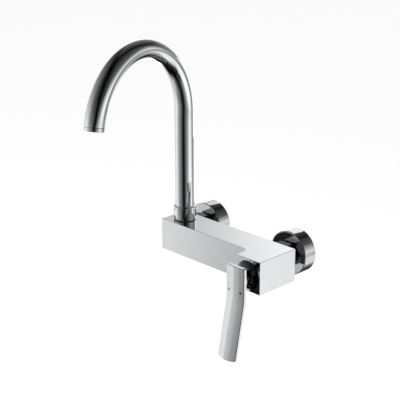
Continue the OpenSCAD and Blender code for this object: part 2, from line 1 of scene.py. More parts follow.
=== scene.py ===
# %% [markdown]
# # Wall-mounted kitchen mixer
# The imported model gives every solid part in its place. This lesson dresses them: pieces whose
# finish needs a finer shape are made again here, at the same size, and the others keep their
# shape and get a better material. Lengths are written in millimetres, as on a workshop drawing,
# and turned to metres where a mesh is made.

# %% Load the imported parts
import json
import math

import bmesh
import bpy
import numpy as np
from mathutils import Matrix, Vector


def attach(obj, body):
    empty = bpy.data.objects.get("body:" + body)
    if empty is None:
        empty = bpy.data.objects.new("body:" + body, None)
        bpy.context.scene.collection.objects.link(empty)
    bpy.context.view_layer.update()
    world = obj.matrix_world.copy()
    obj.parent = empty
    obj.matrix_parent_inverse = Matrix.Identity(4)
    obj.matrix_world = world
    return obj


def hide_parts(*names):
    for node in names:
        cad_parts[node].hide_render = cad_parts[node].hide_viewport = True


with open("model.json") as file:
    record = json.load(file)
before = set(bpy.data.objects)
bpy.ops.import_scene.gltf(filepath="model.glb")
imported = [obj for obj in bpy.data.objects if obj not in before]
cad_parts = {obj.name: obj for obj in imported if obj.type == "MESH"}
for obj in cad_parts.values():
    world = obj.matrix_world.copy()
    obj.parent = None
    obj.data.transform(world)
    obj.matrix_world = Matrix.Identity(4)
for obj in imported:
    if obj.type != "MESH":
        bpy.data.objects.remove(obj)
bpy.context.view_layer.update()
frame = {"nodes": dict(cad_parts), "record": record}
MM = 0.001

# %% [markdown]
# ## Small helpers
# Colours are picked as sRGB hex, which is what a colour picker shows, but shaders add light and
# so work in linear values. One function turns the first into the second. Another adds a node
# with its settings and links, so that a whole material fits in a few lines.

# %% Colour and node helpers
def linear(hex_code):
    channels = [int(hex_code[i:i + 2], 16) / 255 for i in (1, 3, 5)]
    return tuple(c / 12.92 if c <= 0.04045 else ((c + 0.055) / 1.055) ** 2.4 for c in channels) + (1.0,)


def node(tree, kind, inputs=None, **settings):
    made = tree.nodes.new(kind)
    for key, value in settings.items():
        setattr(made, key, value)
    for key, value in (inputs or {}).items():
        if isinstance(value, bpy.types.NodeSocket):
            tree.links.new(value, made.inputs[key])
        else:
            made.inputs[key].default_value = value
    return made


def darker(hex_code, share):
    return tuple(c * share for c in linear(hex_code)[:3]) + (1.0,)


def new_material(name):
    material = bpy.data.materials.new(name)
    material.use_nodes = True
    tree = material.node_tree
    tree.nodes.clear()
    place = node(tree, "ShaderNodeTexCoord").outputs["Object"]
    return material, tree, place


print("mid grey in linear light:", round(linear("#808080")[0], 3))

# %% [markdown]
# ## Materials
# ** Chrome plate** is a thin bright layer over polished brass. It is a mirror, so its colour is
# only how much light it gives back. What shows that it is real is that the mirror isn't perfect:
# buffing leaves the surface in very low waves some 15 mm across, and the plate has a faint haze
# that comes and goes. A picture of smears could give this too, but it would need a file and an
# unwrapped mesh. Two noises in the object's own space need neither: one is a bump of a few
# micrometres, and the other moves the roughness between two low values. A buffed casting gives
# back a little less light than drawn or turned brass. The forged union nuts, the eccentrics and
# the pressed bonnet are chrome too, with a rougher plate, but their colour is darkened as painted
# shade: a dull grey on the unions for the dark of the gap between the bar and the flanges, and a
# darker grey on the bonnet for the dark of the gap behind the lever.

# %% Chrome plate
HAZE_MM = 50 / 3  # patches of haze, which breath and handling leave
HAZE_LOW, HAZE_HIGH = 0.35, 0.7  # a noise seldom leaves this range


def chrome_plate(name, hex_code, wave_mm, wave_depth_mm, rough_low, rough_high):
    material, tree, place = new_material(name)
    haze = node(tree, "ShaderNodeTexNoise", {"Vector": place, "Scale": 1 / (HAZE_MM * MM), "Detail": 3.0})
    rough = node(tree, "ShaderNodeMapRange", {"Value": haze.outputs["Fac"], "From Min": HAZE_LOW,
                 "From Max": HAZE_HIGH, "To Min": rough_low, "To Max": rough_high})
    wave = node(tree, "ShaderNodeTexNoise", {"Vector": place, "Scale": 1 / (wave_mm * MM), "Detail": 1.0})
    bump = node(tree, "ShaderNodeBump", {"Height": wave.outputs["Fac"], "Strength": 1.0,
                "Distance": wave_depth_mm * MM})
    tint = node(tree, "ShaderNodeMix", {"Factor": haze.outputs["Fac"], "A": linear(hex_code),
                "B": darker(hex_code, 0.93)}, data_type="RGBA")
    shader = node(tree, "ShaderNodeBsdfPrincipled", {"Base Color": tint.outputs["Result"],
                  "Metallic": 1.0, "Roughness": rough.outputs["Result"], "Normal": bump.outputs["Normal"]})
    node(tree, "ShaderNodeOutputMaterial", {"Surface": shader.outputs[0]})
    return material


chrome_cast = chrome_plate("chrome_on_buffed_casting", "#DFE0E1", 16, 0.006, 0.02, 0.05)
chrome_tube = chrome_plate("chrome_on_drawn_tube", "#ECEDEE", 30, 0.004, 0.015, 0.04)
chrome_turned = chrome_plate("chrome_on_turned_brass", "#EBECED", 12, 0.003, 0.02, 0.05)
chrome_spun = chrome_plate("chrome_on_spun_brass", "#D6D7D8", 14, 0.004, 0.02, 0.05)
print("chrome finishes:", [plate.name for plate in (chrome_cast, chrome_tube, chrome_turned, chrome_spun)])

# %% Chrome darkened as painted shade
# Painted shade: the union nuts and eccentrics are chrome, and this dull grey stands in for the dark gap round them.
chrome_painted_shade_unions = chrome_plate("chrome_painted_shade_on_unions", "#8F9194", 9, 0.004, 0.08, 0.16)
# Painted shade: the bonnet is chrome, and this dark grey stands in for the dark gap behind the lever.
chrome_painted_shade_bonnet = chrome_plate("chrome_painted_shade_on_bonnet", "#5C5E61", 12, 0.003, 0.03, 0.08)
print("other plates:", chrome_painted_shade_unions.name, chrome_painted_shade_bonnet.name)

# %% [markdown]
# **Turned brass** shows the path of the lathe tool: rings about the piece's axis, 0.4 mm apart.
# That is too fine to show here, so the rings are drawn five times as coarse. Cutting them into
# the mesh would cost thousands of faces for something a tenth of a hair deep, so a bump does it.
# All these pieces lie along Y, except the spout's tail, which stands along Z, and bands across
# that axis are rings. Handling darkens brass in patches.

# %% Turned brass
WAVE_REPEAT = 0.314  # a wave texture of scale 1 repeats after this length in metres
DRAWN_COARSER = 5
RING_DEPTH_MM = 0.03  # 0.006 mm on the real piece, deepened with the pitch
TARNISH_MM = 100 / 9


def turned_brass(name, hex_code, axis, pitch_mm):
    material, tree, place = new_material(name)
    rings = node(tree, "ShaderNodeTexWave", {"Vector": place, "Distortion": 0.4, "Detail": 2.0,
                 "Scale": WAVE_REPEAT / (DRAWN_COARSER * pitch_mm * MM)}, bands_direction=axis)
    tarnish = node(tree, "ShaderNodeTexNoise", {"Vector": place, "Scale": 1 / (TARNISH_MM * MM), "Detail": 4.0})
    tint = node(tree, "ShaderNodeMix", {"Factor": tarnish.outputs["Fac"], "A": linear(hex_code),
                "B": darker(hex_code, 0.6)}, data_type="RGBA")
    bump = node(tree, "ShaderNodeBump", {"Height": rings.outputs["Fac"], "Strength": 0.6,
                "Distance": RING_DEPTH_MM * MM})
    rough = node(tree, "ShaderNodeMapRange", {"Value": tarnish.outputs["Fac"], "To Min": 0.22, "To Max": 0.45})
    shader = node(tree, "ShaderNodeBsdfPrincipled", {"Base Color": tint.outputs["Result"], "Metallic": 1.0,
                  "Roughness": rough.outputs["Result"], "Normal": bump.outputs["Normal"]})
    node(tree, "ShaderNodeOutputMaterial", {"Surface": shader.outputs[0]})
    return material


brass_y = turned_brass("turned_brass_along_y", "#C9A45C", "Y", 0.4)
brass_z = turned_brass("turned_brass_along_z", "#C9A45C", "Z", 0.4)
print("brass finishes:", brass_y.name, brass_z.name)

# %% [markdown]
# The other finishes are one kind of surface to the eye: a fine grain, and a tone and a gloss that
# are slightly patchy. So one recipe makes them all, with other numbers. Moulded **rubber** is
# nearly black and dull. **Acetal** is milky with a soft gloss, or black where it has soot in it.
# The case is grey **polypropylene**, a little waxy. **Stainless steel** is drawn, so its grain is
# stretched one way. **Alumina** discs are lapped flat, nearly white and smooth. The two index
# dots are **enamel**, smooth and glossy.

# %% One recipe for fine-grained finishes
CLOUD_MM = 100 / 7  # patches of tone


def fine_grained(name, hex_code, rough, grain_mm, grain_depth_mm, ior=1.5, stretch=(1, 1, 1), metallic=0.0):
    material, tree, place = new_material(name)
    spread = node(tree, "ShaderNodeMapping", {"Vector": place, "Scale": stretch})
    grain = node(tree, "ShaderNodeTexNoise", {"Vector": spread.outputs["Vector"], "Scale": 1 / (grain_mm * MM),
                 "Detail": 4.0})
    cloud = node(tree, "ShaderNodeTexNoise", {"Vector": spread.outputs["Vector"], "Scale": 1 / (CLOUD_MM * MM),
                 "Detail": 2.0})
    tint = node(tree, "ShaderNodeMix", {"Factor": cloud.outputs["Fac"], "A": linear(hex_code),
                "B": darker(hex_code, 0.82)}, data_type="RGBA")
    gloss = node(tree, "ShaderNodeMapRange", {"Value": grain.outputs["Fac"], "To Min": rough * 0.8,
                 "To Max": min(1.0, rough * 1.2)})
    bump = node(tree, "ShaderNodeBump", {"Height": grain.outputs["Fac"], "Strength": 0.7,
                "Distance": grain_depth_mm * MM})
    shader = node(tree, "ShaderNodeBsdfPrincipled", {"Base Color": tint.outputs["Result"], "IOR": ior,
                  "Metallic": metallic, "Roughness": gloss.outputs["Result"], "Normal": bump.outputs["Normal"]})
    node(tree, "ShaderNodeOutputMaterial", {"Surface": shader.outputs[0]})
    return material


rubber = fine_grained("moulded_epdm_rubber", "#1E1E20", 0.7, 0.6, 0.02, ior=1.52)
print("rubber:", rubber.name)

# %% Plastics, alumina, steel and enamel
nylon = fine_grained("moulded_acetal", "#E6E6E2", 0.42, 0.9, 0.01, ior=1.48)
dark_nylon = fine_grained("moulded_black_acetal", "#2B2B2D", 0.42, 0.9, 0.01, ior=1.48)
case_plastic = fine_grained("moulded_grey_polypropylene", "#5E6267", 0.5, 0.8, 0.02, ior=1.49)
ceramic = fine_grained("lapped_alumina", "#F3F2EE", 0.18, 0.4, 0.001, ior=1.76)
steel = fine_grained("drawn_stainless_steel", "#C2C3C6", 0.28, 0.5, 0.004, ior=1.5, stretch=(1, 1, 12), metallic=1.0)
dot_light = fine_grained("pale_grey_enamel", "#9C9C9C", 0.2, 0.7, 0.003)
dot_dark = fine_grained("dark_grey_enamel", "#5A5A5A", 0.2, 0.7, 0.003)
print("other finishes:", [other.name for other in (nylon, dark_nylon, case_plastic, ceramic, steel, dot_light,
                                                   dot_dark)])

# %% [markdown]
# ## Finishes on the imported parts
# The material slots of the record say what each part is made of. Each of the forty parts could
# get its finish in a line of its own, but a table of slots is shorter, and a second table holds
# the parts that differ from their slot: the casting and the drawn tube share the chrome slot with
# the turned pieces, and so do the unions and the bonnet, whose chrome is darkened as painted
# shade. The bush under the collar is black acetal, and its rim shows as a fine dark line.

# %% Give every imported part its finish
FINISH_OF_SLOT = {"chrome": chrome_turned, "brass": brass_y, "rubber": rubber, "nylon": nylon,
                  "case_plastic": case_plastic, "ceramic": ceramic, "steel": steel,
                  "index_light": dot_light, "index_dark": dot_dark}
FINISH_OF_NODE = {"body": chrome_cast, "lever": chrome_cast, "spout_tube": chrome_tube, "spout_tail": brass_z,
                  "spout_bush": dark_nylon, "bonnet": chrome_painted_shade_bonnet, "union_nut_left": chrome_painted_shade_unions,
                  "union_nut_right": chrome_painted_shade_unions, "eccentric_left": chrome_painted_shade_unions, "eccentric_right": chrome_painted_shade_unions}

for row in frame["record"]["subparts"]:
    finish = FINISH_OF_NODE.get(row["node"], FINISH_OF_SLOT[row["material_slot"]])
    mesh = frame["nodes"][row["node"]].data
    mesh.materials.clear()
    mesh.materials.append(finish)

# %% [markdown]
# ## The gooseneck
# The spout is one length of brass tube, bent cold on a former and plated. It follows a rule: a
# straight riser, then an arc of one radius. A bent tube goes slightly oval, narrower across the
# bend, and the oval fades out where the bend starts. Its end is sized round again, to take the
# thread of the aerator. A curve with a round bevel would be the quick way, but it stays round
# from end to end. Geometry Nodes can say the whole rule. A flat grid is rolled up: its X becomes
# the way along the tube and its Y the way round it.

# %% Sizes of the spout
SPOUT_AXIS = Vector((-66.5, -64.5, 0)) * MM
SPOUT_TURN = math.radians(13)
TUBE_FOOT, RISER_TOP, BEND_R, SWEEP = 22.6 * MM, 168 * MM, 91.5 * MM, math.radians(169)
TUBE_R, TUBE_WALL, BEND_NARROW, BEND_WIDE = 12.5 * MM, 1.2 * MM, 11.9 * MM, 12.45 * MM
TUBE_END_R, BEND_FADE, END_FADE = 12.1 * MM, 22 * MM, 14 * MM

across = Vector((math.sin(SPOUT_TURN), -math.cos(SPOUT_TURN), 0))
up = Vector((0, 0, 1))
stream = across * math.sin(SWEEP) + up * math.cos(SWEEP)
outward = -across * math.cos(SWEEP) + up * math.sin(SWEEP)
outlet = SPOUT_AXIS + up * RISER_TOP + across * BEND_R + outward * BEND_R
print("outlet at", tuple(round(v, 4) for v in outlet), "stream", tuple(round(v, 3) for v in stream))

# %% Inputs of the rolling tree
group = bpy.data.node_groups.new("rolled_gooseneck", "GeometryNodeTree")
interface = group.interface
interface.new_socket("Geometry", in_out="OUTPUT", socket_type="NodeSocketGeometry")
socket_of = {}
for label, value in (("Foot", TUBE_FOOT), ("Riser top", RISER_TOP), ("Bend radius", BEND_R), ("Sweep", SWEEP),
                     ("Tube radius", TUBE_R), ("Narrow radius", BEND_NARROW), ("Wide radius", BEND_WIDE),
                     ("Fade", BEND_FADE), ("End radius", TUBE_END_R), ("End fade", END_FADE)):
    socket = interface.new_socket(label, in_out="INPUT", socket_type="NodeSocketFloat")
    socket_of[label] = (socket.identifier, value)
size = node(group, "NodeGroupInput").outputs
print("inputs:", list(socket_of))

# %% Way along the tube, round it and round the bend
grid = node(group, "GeometryNodeMeshGrid", {"Size X": 1.0, "Size Y": 1.0, "Vertices X": 240, "Vertices Y": 97})
flat = node(group, "ShaderNodeSeparateXYZ", {0: node(group, "GeometryNodeInputPosition").outputs[0]})
share = node(group, "ShaderNodeMath", {0: flat.outputs["X"], 1: 0.5}, operation="ADD")
round_share = node(group, "ShaderNodeMath", {0: flat.outputs["Y"], 1: 2 * math.pi}, operation="MULTIPLY")
arc = node(group, "ShaderNodeMath", {0: size["Bend radius"], 1: size["Sweep"]}, operation="MULTIPLY")
riser = node(group, "ShaderNodeMath", {0: size["Riser top"], 1: size["Foot"]}, operation="SUBTRACT")
whole = node(group, "ShaderNodeMath", {0: arc.outputs[0], 1: riser.outputs[0]}, operation="ADD")
along = node(group, "ShaderNodeMath", {0: share.outputs[0], 1: whole.outputs[0]}, operation="MULTIPLY")
bent = node(group, "ShaderNodeMath", {0: along.outputs[0], 1: riser.outputs[0]}, operation="SUBTRACT")
straight = node(group, "ShaderNodeMath", {0: along.outputs[0], 1: riser.outputs[0]}, operation="MINIMUM")
over = node(group, "ShaderNodeMath", {0: bent.outputs[0], 1: 0.0}, operation="MAXIMUM")
angle = node(group, "ShaderNodeMath", {0: over.outputs[0], 1: size["Bend radius"]}, operation="DIVIDE")
cosine = node(group, "ShaderNodeMath", {0: angle.outputs[0]}, operation="COSINE")
sine = node(group, "ShaderNodeMath", {0: angle.outputs[0]}, operation="SINE")
print("way along the tube, nodes so far:", len(group.nodes))

# %% Oval in the bend, round at the end
fade_start = node(group, "ShaderNodeMath", {0: size["Fade"], 1: -0.5}, operation="MULTIPLY")
fade_end = node(group, "ShaderNodeMath", {0: size["Fade"], 1: 0.5}, operation="MULTIPLY")
narrow = node(group, "ShaderNodeMapRange", {"Value": bent.outputs[0], "From Min": fade_start.outputs[0],
              "From Max": fade_end.outputs[0], "To Min": size["Tube radius"], "To Max": size["Narrow radius"]},
              interpolation_type="SMOOTHSTEP")
wide = node(group, "ShaderNodeMapRange", {"Value": bent.outputs[0], "From Min": fade_start.outputs[0],
            "From Max": fade_end.outputs[0], "To Min": size["Tube radius"], "To Max": size["Wide radius"]},
            interpolation_type="SMOOTHSTEP")
to_end = node(group, "ShaderNodeMath", {0: whole.outputs[0], 1: along.outputs[0]}, operation="SUBTRACT")
narrow, wide = [node(group, "ShaderNodeMapRange", {"Value": to_end.outputs[0], "From Max": size["End fade"],
                     "To Min": size["End radius"], "To Max": radius.outputs[0]}, interpolation_type="SMOOTHSTEP")
                for radius in (narrow, wide)]
print("radii of the tube, nodes so far:", len(group.nodes))

# %% Roll the grid up and place it
round_cos = node(group, "ShaderNodeMath", {0: round_share.outputs[0]}, operation="COSINE")
round_sin = node(group, "ShaderNodeMath", {0: round_share.outputs[0]}, operation="SINE")
out = node(group, "ShaderNodeMath", {0: narrow.outputs[0], 1: round_cos.outputs[0]}, operation="MULTIPLY")
reach = node(group, "ShaderNodeMath", {0: size["Bend radius"], 1: out.outputs[0]}, operation="ADD")
arc_x = node(group, "ShaderNodeMath", {0: reach.outputs[0], 1: cosine.outputs[0]}, operation="MULTIPLY")
x = node(group, "ShaderNodeMath", {0: size["Bend radius"], 1: arc_x.outputs[0]}, operation="SUBTRACT")
y = node(group, "ShaderNodeMath", {0: wide.outputs[0], 1: round_sin.outputs[0]}, operation="MULTIPLY")
arc_z = node(group, "ShaderNodeMath", {0: reach.outputs[0], 1: sine.outputs[0]}, operation="MULTIPLY")
foot_z = node(group, "ShaderNodeMath", {0: straight.outputs[0], 1: size["Foot"]}, operation="ADD")
z = node(group, "ShaderNodeMath", {0: foot_z.outputs[0], 1: arc_z.outputs[0]}, operation="ADD")
spot = node(group, "ShaderNodeCombineXYZ", {0: x.outputs[0], 1: y.outputs[0], 2: z.outputs[0]})
rolled = node(group, "GeometryNodeSetPosition", {"Geometry": grid.outputs["Mesh"], "Position": spot.outputs[0]})
closed = node(group, "GeometryNodeMergeByDistance", {"Geometry": rolled.outputs[0], "Distance": 0.00002})
placed = node(group, "GeometryNodeTransform", {"Geometry": closed.outputs[0], "Translation": SPOUT_AXIS,
              "Rotation": (0, 0, SPOUT_TURN - math.pi / 2)})
smooth = node(group, "GeometryNodeSetShadeSmooth", {0: placed.outputs[0]})
real = node(group, "GeometryNodeRealizeInstances", {0: smooth.outputs[0]})
plated = node(group, "GeometryNodeSetMaterial", {"Geometry": real.outputs[0], "Material": chrome_tube})
node(group, "NodeGroupOutput", {0: plated.outputs[0]})
print("nodes in the tree:", len(group.nodes))

# %% Make the tube a plain mesh
def link(name, mesh):
    piece = bpy.data.objects.new(name, mesh)
    bpy.context.scene.collection.objects.link(piece)
    return piece


def baked(name, maker, inputs):
    """Runs a Geometry Nodes tree with its inputs set and returns the result as a plain mesh piece."""
    source = link(name + "_source", bpy.data.meshes.new(name + "_source"))
    modifier = source.modifiers.new("maker", "NODES")
    modifier.node_group = maker
    for identifier, value in inputs.values():
        modifier[identifier] = value
    shown = source.evaluated_get(bpy.context.evaluated_depsgraph_get())
    mesh = bpy.data.meshes.new_from_object(shown)
    bpy.data.objects.remove(source)
    return link(name, mesh)


gooseneck = baked("gooseneck", group, socket_of)
wall = gooseneck.modifiers.new("tube_wall", "SOLIDIFY")
wall.thickness = TUBE_WALL
wall.offset = -1  # the faces point outwards, so the wall goes inwards
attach(gooseneck, "spout")
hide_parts("spout_tube")
print("gooseneck faces:", len(gooseneck.data.polygons))

# %% [markdown]
# ## Turned rings
# The collar, the ring that holds the aerator and the wall flanges are turned on a lathe, and a
# lathe leaves no sharp corner: each is broken by a small round, which catches the light as a fine
# line. A Screw modifier with a Bevel after it could turn them, but with one round for all corners.
# One function turns a profile round an axis instead, with each corner eased to its own radius.

# %% Profiles with eased corners
EASE_STEPS = 6


def eased(corners):
    """Points of a closed profile from corners (radius, height, round), all in millimetres."""
    points = []
    for k, (r, h, ease) in enumerate(corners):
        here = Vector((r, h))
        if not ease:
            points.append(here)
            continue
        before = (Vector(corners[k - 1][:2]) - here).normalized()
        after = (Vector(corners[(k + 1) % len(corners)][:2]) - here).normalized()
        half = before.angle(after) / 2
        centre = here + (before + after).normalized() * (ease / math.sin(half))
        start = here + before * (ease / math.tan(half)) - centre
        end = here + after * (ease / math.tan(half)) - centre
        for i in range(EASE_STEPS + 1):
            points.append(centre + start.lerp(end, i / EASE_STEPS).normalized() * ease)
    return points


square = [(9, 0, 0), (12, 0, 0), (12, 4, 0.7), (9, 4, 0)]
print("a square with one eased corner has", len(eased(square)), "points")

# %% Turn a profile round an axis
SHARP_FROM = math.radians(32)


def turned_piece(name, corners, origin, direction, material, body, nodes, segments=160):
    """A closed ring turned about an axis. The profile goes once round the metal."""
    points = eased(corners)
    area = sum(a.x * b.y - b.x * a.y for a, b in zip(points, points[1:] + points[:1]))
    if area < 0:
        points.reverse()
    turn = direction.to_track_quat("Z", "Y").to_matrix()
    count = len(points)
    verts, faces = [], []
    for k in range(segments):
        a = 2 * math.pi * k / segments
        for p in points:
            verts.append(origin + turn @ Vector((p.x * math.cos(a), p.x * math.sin(a), p.y)) * MM)
        for j in range(count):
            here, there = k * count, (k + 1) % segments * count
            faces.append((here + j, there + j, there + (j + 1) % count, here + (j + 1) % count))
    mesh = bpy.data.meshes.new(name)
    mesh.from_pydata(verts, [], faces)
    mesh.shade_smooth()
    mesh.set_sharp_from_angle(angle=SHARP_FROM)
    mesh.materials.append(material)
    piece = link(name, mesh)
    piece.modifiers.new("even_shading", "WEIGHTED_NORMAL").keep_sharp = True
    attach(piece, body)
    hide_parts(*nodes)
    return piece


print("a corner sharper than", round(math.degrees(SHARP_FROM)), "degrees stays an edge")

# %% [markdown]
# The collar hides the joint between spout and body, and a fine groove near its top marks it. The
# sleeve holds the aerator, and its spigot goes up into the tube. As the tube bends there and the
# spigot doesn't, the spigot is slimmer than the bore by the bend's height over a little more than
# its length. The wall flanges are spun cups: a rim, a wall and a flat front with a hole for the
# union.

# %% Collar at the foot of the spout
COLLAR_BORE, COLLAR_R, COLLAR_FOOT, COLLAR_TOP = 12.5, 14.75, 22.1, 40.1
GROOVE_R, GROOVE_LOW, GROOVE_HIGH, GROOVE_SLANT = 14.2, 36.2, 36.9, 0.3
collar_profile = [(COLLAR_BORE, COLLAR_FOOT, 0), (COLLAR_R, COLLAR_FOOT, 0.35),
                  (COLLAR_R, GROOVE_LOW - GROOVE_SLANT, 0.3), (GROOVE_R, GROOVE_LOW, 0.15),
                  (GROOVE_R, GROOVE_HIGH, 0.15), (COLLAR_R, GROOVE_HIGH + GROOVE_SLANT, 0.3),
                  (COLLAR_R, COLLAR_TOP, 0.9), (COLLAR_BORE, COLLAR_TOP, 0)]
collar = turned_piece("collar", collar_profile, SPOUT_AXIS, up, chrome_turned, "spout", ["spout_collar"])
print("turned:", collar.name)

# %% Sleeve of the aerator
SLEEVE_BORE, SLEEVE_R, SLEEVE_L, SHOULDER_GAP = 9.2, 12.1, 4, 0.01
SPIGOT_L, SPIGOT_GAP, SPIGOT_REACH = 5, 0.1, 6.6
spigot_r = (TUBE_R - TUBE_WALL) / MM - SPIGOT_GAP - SPIGOT_REACH ** 2 / (2 * BEND_R / MM)
sleeve_profile = [(SLEEVE_BORE, -SPIGOT_L, 0), (spigot_r, -SPIGOT_L, 0.2), (spigot_r, SHOULDER_GAP, 0),
                  (SLEEVE_R, SHOULDER_GAP, 0), (SLEEVE_R, SLEEVE_L, 0.7), (SLEEVE_BORE, SLEEVE_L, 0.4)]
sleeve = turned_piece("aerator_sleeve", sleeve_profile, outlet, stream, chrome_turned, "spout", ["aerator_ring"])
print("turned:", sleeve.name, "spigot radius", round(spigot_r, 2), "mm")

# %% Wall flanges
FLANGE_R, FLANGE_DEPTH, FLANGE_WALL, FLANGE_HOLE_R, INLET_X = 28.75, 19.5, 1.5, 13.5, 75
flange_profile = [(FLANGE_R, 0, 0.3), (FLANGE_R, FLANGE_DEPTH, 1.3), (FLANGE_HOLE_R, FLANGE_DEPTH, 0.5),
                  (FLANGE_HOLE_R, FLANGE_DEPTH - FLANGE_WALL, 0.3),
                  (FLANGE_R - FLANGE_WALL, FLANGE_DEPTH - FLANGE_WALL, 1.2), (FLANGE_R - FLANGE_WALL, 0, 0.3)]
forward = Vector((0, -1, 0))
flanges = [turned_piece("wall_flange_" + side, flange_profile, Vector((x, 0, 0)) * MM, forward, chrome_spun, "mixer",
                        ["flange_" + side]) for side, x in (("left", -INLET_X), ("right", INLET_X))]
print("turned:", [flange.name for flange in flanges])

# %% [markdown]
# ## The lever
# The lever is a casting, ground and buffed by hand. The buffing wheel leaves its face crowned:
# the middle stands 2 mm higher than the long edges. So the face reads as a soft gradient and
# not as one flat tone. A box with a subdivision surface would be soft everywhere, and its crown,
# outline and rim couldn't be set one by one. So it is made as two grids over the face's outline,
# bent along the lever's side view. The front one is crowned and eased at its rim, the back one is
# flat, and a strip of faces joins their rims. The grid lines lie closer together near the rim,
# where the shape turns.

# %% Sizes of the lever
CART_X, PIVOT_Y = 87.5, -90.0
FACE_Y, BLADE_T, BLADE_W = -130.0, 5.5, 29.0
BLADE_TOP, BEND_Z, LEAN, FACE_BEND_R, LOWER_L = 17.5, -20.0, math.radians(11), 60.0, 70.0
END_R, CORNER_R, TOP_R, CROWN, RIM_EASE = 45.0, 3.0, 1.5, 2.0, 0.8
BLADE_LOW = BEND_Z - FACE_BEND_R * math.sin(LEAN) - LOWER_L * math.cos(LEAN)
print("blade from", BLADE_TOP, "down to", round(BLADE_LOW, 1), "mm")

# %% Side view of the face
def face_point(drop):
    """Side view of the face: (y, z) and the way it looks, at a length below the bend's start."""
    if drop <= 0:
        return FACE_Y, BEND_Z - drop, 0.0
    if drop < FACE_BEND_R * LEAN:
        a = drop / FACE_BEND_R
        return FACE_Y - FACE_BEND_R * (1 - math.cos(a)), BEND_Z - FACE_BEND_R * math.sin(a), a
    rest = drop - FACE_BEND_R * LEAN
    return (FACE_Y - FACE_BEND_R * (1 - math.cos(LEAN)) - rest * math.sin(LEAN),
            BEND_Z - FACE_BEND_R * math.sin(LEAN) - rest * math.cos(LEAN), LEAN)


print("face at the bend's start:", face_point(0.0))

# %% Outline of the face
def outline_low(x):
    """Height of the lower outline at x, an arc with round corners."""
    half = BLADE_W / 2
    corner_x = half - CORNER_R
    centre_z = BLADE_LOW + END_R
    corner_z = centre_z - math.sqrt((END_R - CORNER_R) ** 2 - corner_x ** 2)
    reach = END_R / (END_R - CORNER_R) * corner_x
    if abs(x) <= reach:
        return centre_z - math.sqrt(END_R ** 2 - x * x)
    return corner_z - math.sqrt(max(0.0, CORNER_R ** 2 - (abs(x) - corner_x) ** 2))


def outline_top(x):
    over = max(0.0, abs(x) - (BLADE_W / 2 - TOP_R))
    return BLADE_TOP - TOP_R + math.sqrt(max(0.0, TOP_R ** 2 - over ** 2))


def drop_at(z):
    """The length along the face, below the bend's start, at which it is at height z."""
    if z >= BEND_Z:
        return BEND_Z - z
    if z > BEND_Z - FACE_BEND_R * math.sin(LEAN):
        return FACE_BEND_R * math.asin((BEND_Z - z) / FACE_BEND_R)
    return FACE_BEND_R * LEAN + (BEND_Z - FACE_BEND_R * math.sin(LEAN) - z) / math.cos(LEAN)


print("outline at the middle:", outline_top(0.0), "to", round(outline_low(0.0), 1), "mm")

# %% A point of the face or of the back
def blade_point(x, share, at_back):
    """A point of the crowned face with its eased rim, or of the flat back."""
    top, low = drop_at(outline_top(x)), drop_at(outline_low(x))
    if at_back:
        low -= BLADE_T * math.tan(LEAN)
    drop = top + (low - top) * share
    y, z, look = face_point(drop)
    inside = min(BLADE_W / 2 - abs(x), drop - top, low - drop, RIM_EASE)
    ease = RIM_EASE - math.sqrt(max(0.0, RIM_EASE ** 2 - (RIM_EASE - inside) ** 2))
    sink = BLADE_T if at_back else CROWN * (x / (BLADE_W / 2)) ** 2 + ease
    return Vector((CART_X + x, y + sink * math.cos(look), z - sink * math.sin(look))) * MM


print("the middle of the face:", tuple(round(v, 4) for v in blade_point(0.0, 0.5, False)))

# %% Two sheets and a rim
COLUMNS, LINES = 48, 110
blade = bmesh.new()
sheets = []
for at_back in (False, True):
    sheets.append([[blade.verts.new(blade_point(-BLADE_W / 2 * math.cos(math.pi * i / COLUMNS),
                                                (1 - math.cos(math.pi * j / LINES)) / 2, at_back))
                    for i in range(COLUMNS + 1)] for j in range(LINES + 1)])
for sheet in sheets:
    for a, b in zip(sheet, sheet[1:]):
        for i in range(COLUMNS):
            blade.faces.new((a[i], b[i], b[i + 1], a[i + 1]))
rims = [sheet[0][:-1] + [row[-1] for row in sheet[:-1]] + sheet[-1][:0:-1] + [row[0] for row in sheet[:0:-1]]
        for sheet in sheets]
for k in range(len(rims[0])):
    blade.faces.new((rims[0][k - 1], rims[0][k], rims[1][k], rims[1][k - 1]))
bmesh.ops.recalc_face_normals(blade, faces=blade.faces)
blade_mesh = bpy.data.meshes.new("blade")
blade.to_mesh(blade_mesh)
blade.free()
blade_piece = link("blade", blade_mesh)
print("blade columns and lines:", COLUMNS, LINES)

# %% [markdown]
# The neck behind the blade is turned as a cone, hollowed to a ball that rides over the bonnet, and
# bored for the stem and for the grub screw. The hollow is part of the turned profile. The bores
# aren't on its axis, so no profile can hold them, and Booleans cut them. Then blade and neck are
# joined into one piece, as they are one casting.

# %% Turned solids with closed ends
def lathe_mesh(name, points, origin, direction, segments=128):
    """A closed turned solid whose profile starts and ends on the axis."""
    turn = direction.to_track_quat("Z", "Y").to_matrix()
    solid = bmesh.new()
    loops = []
    for r, h in points:
        if r < 1e-6:
            loops.append([solid.verts.new(origin + turn @ Vector((0, 0, h)) * MM)])
            continue
        loops.append([])
        for k in range(segments):
            a = 2 * math.pi * k / segments
            loops[-1].append(solid.verts.new(origin + turn @ Vector((r * math.cos(a), r * math.sin(a), h)) * MM))
    for a, b in zip(loops, loops[1:]):
        for k in range(segments):
            n = (k + 1) % segments
            corners = dict.fromkeys((a[k % len(a)], a[n % len(a)], b[n % len(b)], b[k % len(b)]))
            solid.faces.new(list(corners))
    bmesh.ops.recalc_face_normals(solid, faces=solid.faces)
    mesh = bpy.data.meshes.new(name)
    solid.to_mesh(mesh)
    solid.free()
    return mesh


pivot = Vector((CART_X, PIVOT_Y, 0)) * MM
print("lever pivots at", tuple(round(v, 4) for v in pivot))

